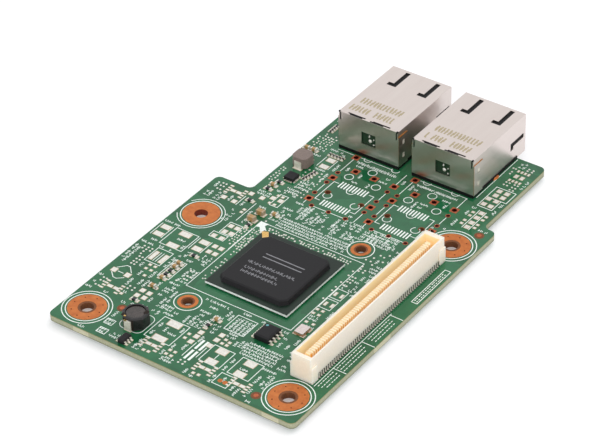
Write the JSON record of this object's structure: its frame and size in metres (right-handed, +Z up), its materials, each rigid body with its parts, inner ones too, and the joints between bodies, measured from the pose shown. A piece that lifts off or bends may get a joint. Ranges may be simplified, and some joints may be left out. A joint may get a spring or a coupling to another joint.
{
  "type": "mezzanine network card",
  "caption": "Notched green circuit board that plugs onto a server board by a tall mezzanine connector, with a controller chip and shielded network jacks at its rear edge.",
  "frame": {"origin": "under the middle of the card's outline, at the level of its lowest solder tail", "axes": "+Z up from the component side, +Y along the card towards the mouths of the jacks, +X across it towards the mezzanine connector"},
  "size_m": [0.0682, 0.1138, 0.0138],
  "materials": {
    "solder_mask": "green solder mask over glass fibre laminate",
    "bare_copper": "bare copper with a clear organic coat",
    "chip_laminate": "dark green package laminate",
    "mould_compound": "black moulding compound",
    "solder": "tin solder and tin plating",
    "cream_plastic": "cream high temperature plastic",
    "gold_plating": "gold plated contact alloy",
    "tinned_sheet": "bright tin plated sheet",
    "black_plastic": "black moulded thermoplastic",
    "lens_plastic": "milky clear indicator lens",
    "ferrite": "black sintered ferrite",
    "moulded_powder": "grey brown pressed iron powder",
    "capacitor_ceramic": "tan capacitor ceramic",
    "resistor_coat": "black resistor coat on alumina",
    "crystal_ceramic": "tan ceramic base",
    "lid_metal": "nickel plated lid"
  },
  "bodies": {
    "root": {"circuit_board": "solder_mask", "mounting_pads": "bare_copper", "heat_sink_rings": "bare_copper", "fiducial_dots": "bare_copper", "spare_socket_pads": "bare_copper", "controller_balls": "solder", "controller_substrate": "chip_laminate", "controller_cap": "mould_compound", "mezzanine_housing": "cream_plastic", "mezzanine_contacts_left": "gold_plating", "mezzanine_contacts_right": "gold_plating", "left_jack_shield": "tinned_sheet", "left_jack_inner_board": "chip_laminate", "left_jack_housing": "black_plastic", "left_jack_lenses": "lens_plastic", "left_jack_springs": "gold_plating", "left_jack_pins": "solder", "right_jack_shield": "tinned_sheet", "right_jack_inner_board": "chip_laminate", "right_jack_housing": "black_plastic", "right_jack_lenses": "lens_plastic", "right_jack_springs": "gold_plating", "right_jack_pins": "solder", "inductor_shell": "ferrite", "inductor_core": "ferrite", "inductor_clips": "solder", "moulded_inductor": "moulded_powder", "moulded_inductor_clips": "solder", "memory_chip_body": "mould_compound", "memory_chip_leads": "solder", "regulator_chip_body": "mould_compound", "regulator_chip_leads": "solder", "driver_chip_body": "mould_compound", "driver_chip_lands": "solder", "crystal_base": "crystal_ceramic", "crystal_lid": "lid_metal", "large_capacitor_bodies": "capacitor_ceramic", "large_capacitor_ends": "solder", "small_capacitor_bodies": "capacitor_ceramic", "small_capacitor_ends": "solder", "resistor_bodies": "resistor_coat", "resistor_ends": "solder", "tiny_resistor_bodies": "resistor_coat", "tiny_resistor_ends": "solder"}
  },
  "joints": []
}
